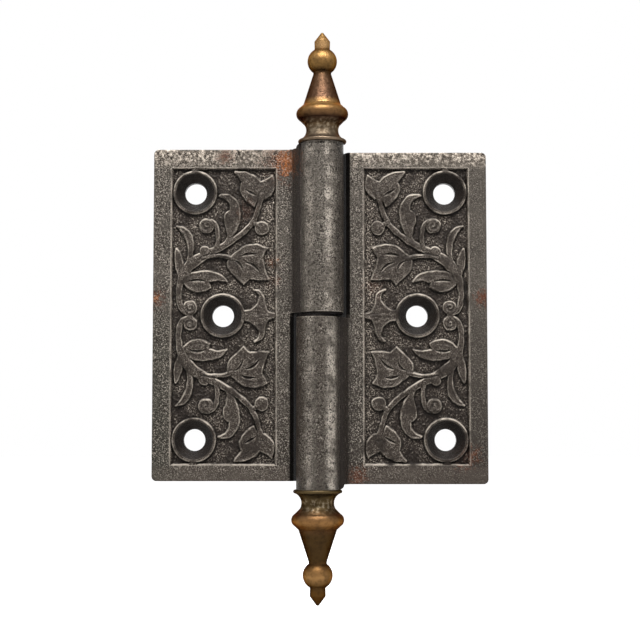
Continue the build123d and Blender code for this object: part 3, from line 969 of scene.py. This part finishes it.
def aged_bronze():
    """Turned bronze under a handled patina: metal with a soft, slightly scratched shine."""
    material, tree, mm = new_material("aged_bronze")
    rise = add(tree, "ShaderNodeSeparateXYZ", {0: mm}, "Z")
    size = add(tree, "ShaderNodeMath", {0: rise}, operation="ABSOLUTE")
    share = add(tree, "ShaderNodeMapRange", {"Value": size, "From Min": KNUCKLE_END, "From Max": TIP})
    ramps = []
    for stops in (LOWER_PATINA, UPPER_PATINA_AND_PAINTED_LIGHT):
        ramp = add(tree, "ShaderNodeValToRGB", {0: share})
        elements = ramp.node.color_ramp.elements
        for position, _ in stops[1:-1]:
            elements.new(position)
        for element, (position, shade) in zip(elements, stops):
            element.position = position
            element.color = linear(shade)
        ramps.append(ramp)
    upper = add(tree, "ShaderNodeMath", {0: rise, 1: 0.0}, operation="GREATER_THAN")
    ends = {FACTOR: upper, UNDER: ramps[0], OVER: ramps[1]}
    colour = add(tree, "ShaderNodeMix", ends, RESULT, data_type="RGBA")
    stain = add(tree, "ShaderNodeTexNoise", {"Vector": mm, "Scale": 1 / STAIN_WIDTH, "Detail": 4.0})
    scratch = add(tree, "ShaderNodeTexNoise", {"Vector": mm, "Scale": 1 / SCRATCH_WIDTH, "Detail": 3.0})
    hollow = add(tree, "ShaderNodeAmbientOcclusion", {"Distance": 1.6 * MM}, "AO", samples=6)
    colour = lay(tree, colour, [
        ("#2a1f14", 0.4, [(stain, 0.5, 0.7)]),
        ("#b8a992", 0.26, [(scratch, 0.48, 0.66), (share, 0.07, 0.1), (share, 0.21, 0.17)]),
        ("#1f160d", 0.3, [(scratch, 0.48, 0.34)]),
        ("#1a120b", 0.8, [(hollow, 0.75, 0.4)]),
    ])
    dents = add(tree, "ShaderNodeMath", {0: stain, 1: 2.0, 2: scratch}, operation="MULTIPLY_ADD")
    bump = add(tree, "ShaderNodeBump", {"Height": dents, "Strength": 0.8, "Distance": 0.16 * MM})
    rough = add(tree, "ShaderNodeMapRange", {
        "Value": stain, "From Min": 0.3, "From Max": 0.7, "To Min": 0.38, "To Max": 0.54,
    })
    bronze = add(tree, "ShaderNodeBsdfPrincipled", {
        "Base Color": colour, "Metallic": 1.0, "Roughness": rough, "Normal": bump,
        "Specular Tint": linear("#8c7a66"),  # tarnish dims what the sides reflect
    })
    add(tree, "ShaderNodeOutputMaterial", {"Surface": bronze})
    return material


bronze = aged_bronze()
print(len(bronze.node_tree.nodes), "nodes in the bronze")

# %% [markdown]
# ## Oiled steel
# The pin is drawn steel rod. It shows only when the door is lifted off. Old oil leaves it brownish, with
# fine rings where the knuckles turned on it. The rings could be cut as grooves, but a wave in the material
# gives them with no more faces on a piece that is hardly seen.

# %% The pin's material
RING = 0.9  # pitch of the wear rings, coarser than the real ones so that they show
BANDS_PER_MM = 3.18  # of the wave node at a scale of 1
FILM_WIDTH = 6


def oiled_steel():
    """Bright drawn steel with a film of old oil and rings of wear round it."""
    material, tree, mm = new_material("oiled_steel")
    waves = {"Vector": mm, "Scale": 1 / (BANDS_PER_MM * RING), "Distortion": 1.5, "Detail": 2.0}
    rings = add(tree, "ShaderNodeTexWave", waves, 1, bands_direction="Z")
    film = add(tree, "ShaderNodeTexNoise", {"Vector": mm, "Scale": 1 / FILM_WIDTH, "Detail": 4.0})
    colour = lay(tree, linear("#5d564d"), [("#94908a", 1.0, [(film, 0, 1)])])
    bump = add(tree, "ShaderNodeBump", {"Height": rings, "Strength": 0.3, "Distance": 0.05 * MM})
    steel = add(tree, "ShaderNodeBsdfPrincipled", {
        "Base Color": colour, "Metallic": 1.0, "Roughness": 0.34, "Normal": bump,
    })
    add(tree, "ShaderNodeOutputMaterial", {"Surface": steel})
    return material


steel = oiled_steel()
print(len(steel.node_tree.nodes), "nodes in the steel")

# %% [markdown]
# ## Finishes on the pieces
# Each piece of the frame takes one finish, and both carvings take the carved iron. What a piece came with
# is cleared first. A finish could also be given face by face, but each of these pieces is of one metal.

# %% Give every piece its finish
finishes = {
    "frame_leaf": plain_iron,
    "door_leaf": plain_iron,
    "pin": steel,
    "upper_finial": bronze,
    "lower_finial": bronze,
}
pieces = {nodes[name]: material for name, material in finishes.items()}
pieces.update({frame_carving: carved_iron, door_carving: carved_iron})
for piece, material in pieces.items():
    piece.data.materials.clear()
    piece.data.materials.append(material)
print(len(pieces), "pieces have a finish")

# %% [markdown]
# ## Studio
# A white surround, a pale floor well below the hinge, and soft boxes at the left, the right, above and
# behind. The world is white to the eye and in reflections, and dimmer as a light, so that the lamps still
# model the carving. Far off, where the lamps don't reach, the floor glows white too, but near the hinge it
# keeps the hinge's shadow.

# %% World
scene = bpy.context.scene
scene.view_settings.view_transform = "Standard"
scene.world = bpy.data.worlds.new("white_surround")
scene.world.use_nodes = True
tree = scene.world.node_tree
tree.nodes.clear()


def seen_rays(tree):
    """1 for what the camera sees, straight or in metal and glass, and 0 for light that falls on a surface."""
    rays = add(tree, "ShaderNodeLightPath").node.outputs
    seen = rays["Is Camera Ray"]
    for kind in ("Is Glossy Ray", "Is Transmission Ray"):
        seen = add(tree, "ShaderNodeMath", {0: seen, 1: rays[kind]}, operation="MAXIMUM")
    return seen


WORLD_LIGHT = 0.04  # strength as a light, against 1 as it is seen
strength = add(tree, "ShaderNodeMapRange", {"Value": seen_rays(tree), "To Min": WORLD_LIGHT, "To Max": 1.0})
surround = add(tree, "ShaderNodeBackground", {"Color": (1, 1, 1, 1), "Strength": strength})
add(tree, "ShaderNodeOutputWorld", {"Surface": surround})
print("the world lights at", WORLD_LIGHT)

# %% Floor
FLOOR_DROP = 0.04  # below the lower finial's tip
FLOOR_SIZE = 8.0
SHADOW_REACH = (150, 500)  # mm from the hinge, over which the floor's glow grows
FLOOR_GLOW = (0.3, 0.96)
bpy.ops.mesh.primitive_plane_add(size=FLOOR_SIZE, location=(0, 0, cad_box[0][2] - FLOOR_DROP))
floor = bpy.context.object
floor.name = "pale_floor"
material, tree, mm = new_material("pale_floor")
away = add(tree, "ShaderNodeVectorMath", {0: mm}, "Value", operation="LENGTH")
glow = add(tree, "ShaderNodeMapRange", {
    "Value": away, "From Min": SHADOW_REACH[0], "From Max": SHADOW_REACH[1],
    "To Min": FLOOR_GLOW[0], "To Max": FLOOR_GLOW[1],
})
glow = add(tree, "ShaderNodeMath", {0: seen_rays(tree), 1: glow}, operation="MULTIPLY")
paint = add(tree, "ShaderNodeBsdfPrincipled", {
    "Base Color": linear("#e6e5e3"), "Roughness": 0.9,
    "Emission Color": (1, 1, 1, 1), "Emission Strength": glow,
})
add(tree, "ShaderNodeOutputMaterial", {"Surface": paint})
floor.data.materials.append(material)
print("floor at", round(floor.location.z, 3), "m")

# %% Lamps: place, size and power
LAMPS = {
    "left_softbox": ((-0.60, -0.26, 0.30), (0.12, 0.50), 0.35),
    "right_softbox": ((0.46, -0.48, 0.34), (0.12, 0.50), 0.6),
    "overhead_softbox": ((0.0, -0.34, 0.58), (0.40, 0.08), 7.8),
    "back_softbox": ((0.0, 0.60, 0.30), (0.60, 0.60), 3.4),
}
for name, (location, size, power) in LAMPS.items():
    bpy.ops.object.light_add(type="AREA", location=location)
    lamp = bpy.context.object
    lamp.name = name
    lamp.data.shape = "RECTANGLE"
    lamp.data.size, lamp.data.size_y = size
    lamp.data.energy = power
    lamp.rotation_euler = (-Vector(location)).to_track_quat("-Z", "Y").to_euler()
print(len(LAMPS), "lamps")

# %% [markdown]
# ## Camera
# The photograph was taken straight on from a little below the middle, with a longish lens about 38 cm away,
# so the leaves narrow slightly towards the top.

# %% Place the camera
DISTANCE = 0.384
ELEVATION = math.radians(-4.3)
AIM = Vector((0, 0, -0.0013))
SENSOR = 36.0
LENS = 81.6
bpy.ops.object.camera_add()
camera = bpy.context.object
camera.data.sensor_width = SENSOR
camera.data.lens = LENS
camera.location = AIM + DISTANCE * Vector((0, -math.cos(ELEVATION), math.sin(ELEVATION)))
camera.rotation_euler = (AIM - camera.location).to_track_quat("-Z", "Y").to_euler()
scene.camera = camera
print("camera at", [round(c, 3) for c in camera.location])
